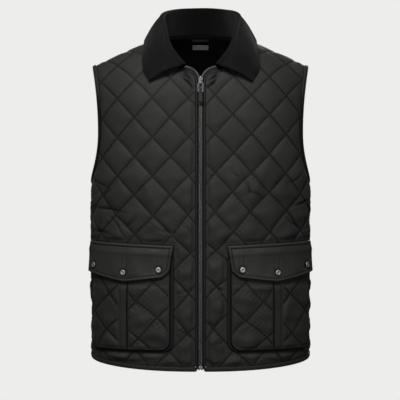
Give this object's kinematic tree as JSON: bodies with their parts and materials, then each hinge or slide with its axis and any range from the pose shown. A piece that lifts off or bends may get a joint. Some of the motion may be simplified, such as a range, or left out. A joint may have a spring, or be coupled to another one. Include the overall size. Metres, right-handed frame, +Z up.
{
  "type": "quilted gilet",
  "caption": "Sleeveless diamond-quilted gilet, worn open form, with a turn-down collar, front zip, bound armholes and hem, and flapped bellows pockets with snaps.",
  "frame": {"origin": "midway between the two neck points of the shoulder seams, where the wearer's shoulders hold the garment up", "axes": "+Z up along the garment, +X across towards the wearer's left, -Y out of the front"},
  "size_m": [0.4844, 0.252, 0.7919],
  "materials": {
    "quilted_nylon": "matt woven shell, diamond quilted",
    "needlecord": "fine-rib cord pile",
    "edge_tape": "matt binding tape",
    "zip_tape": "woven tape with moulded tooth row",
    "steel": "brushed",
    "rubber_tag": "matt",
    "label_cloth": "plain woven, bare"
  },
  "bodies": {
    "gilet": {"front_right": "quilted_nylon", "front_left": "quilted_nylon", "back": "quilted_nylon", "collar": "needlecord", "armhole_binding_right": "edge_tape", "armhole_binding_left": "edge_tape", "hem_binding": "edge_tape", "front_piping_right": "edge_tape", "front_piping_left": "edge_tape", "zip_half_right": "zip_tape", "zip_half_left": "zip_tape", "pocket_gusset_right": "edge_tape", "pocket_gusset_left": "edge_tape", "pocket_right": "quilted_nylon", "pocket_left": "quilted_nylon", "pocket_flap_right": "quilted_nylon", "pocket_flap_left": "quilted_nylon", "snap_right_inner": "steel", "snap_right_middle": "steel", "snap_right_outer": "steel", "snap_left_inner": "steel", "snap_left_middle": "steel", "snap_left_outer": "steel", "zip_slider": "steel", "zip_box": "steel", "neck_label": "label_cloth", "hanger_loop": "edge_tape"},
    "zip_pull": {"zip_pull_link": "steel", "zip_pull_tag": "rubber_tag"}
  },
  "joints": [
    {"name": "zip_pull_swing", "type": "hinge", "parent": "gilet", "child": "zip_pull", "pos_m": [0, -0.12301, -0.11651], "axis": [-1, 0, 0], "range_deg": [0, 150]}
  ]
}
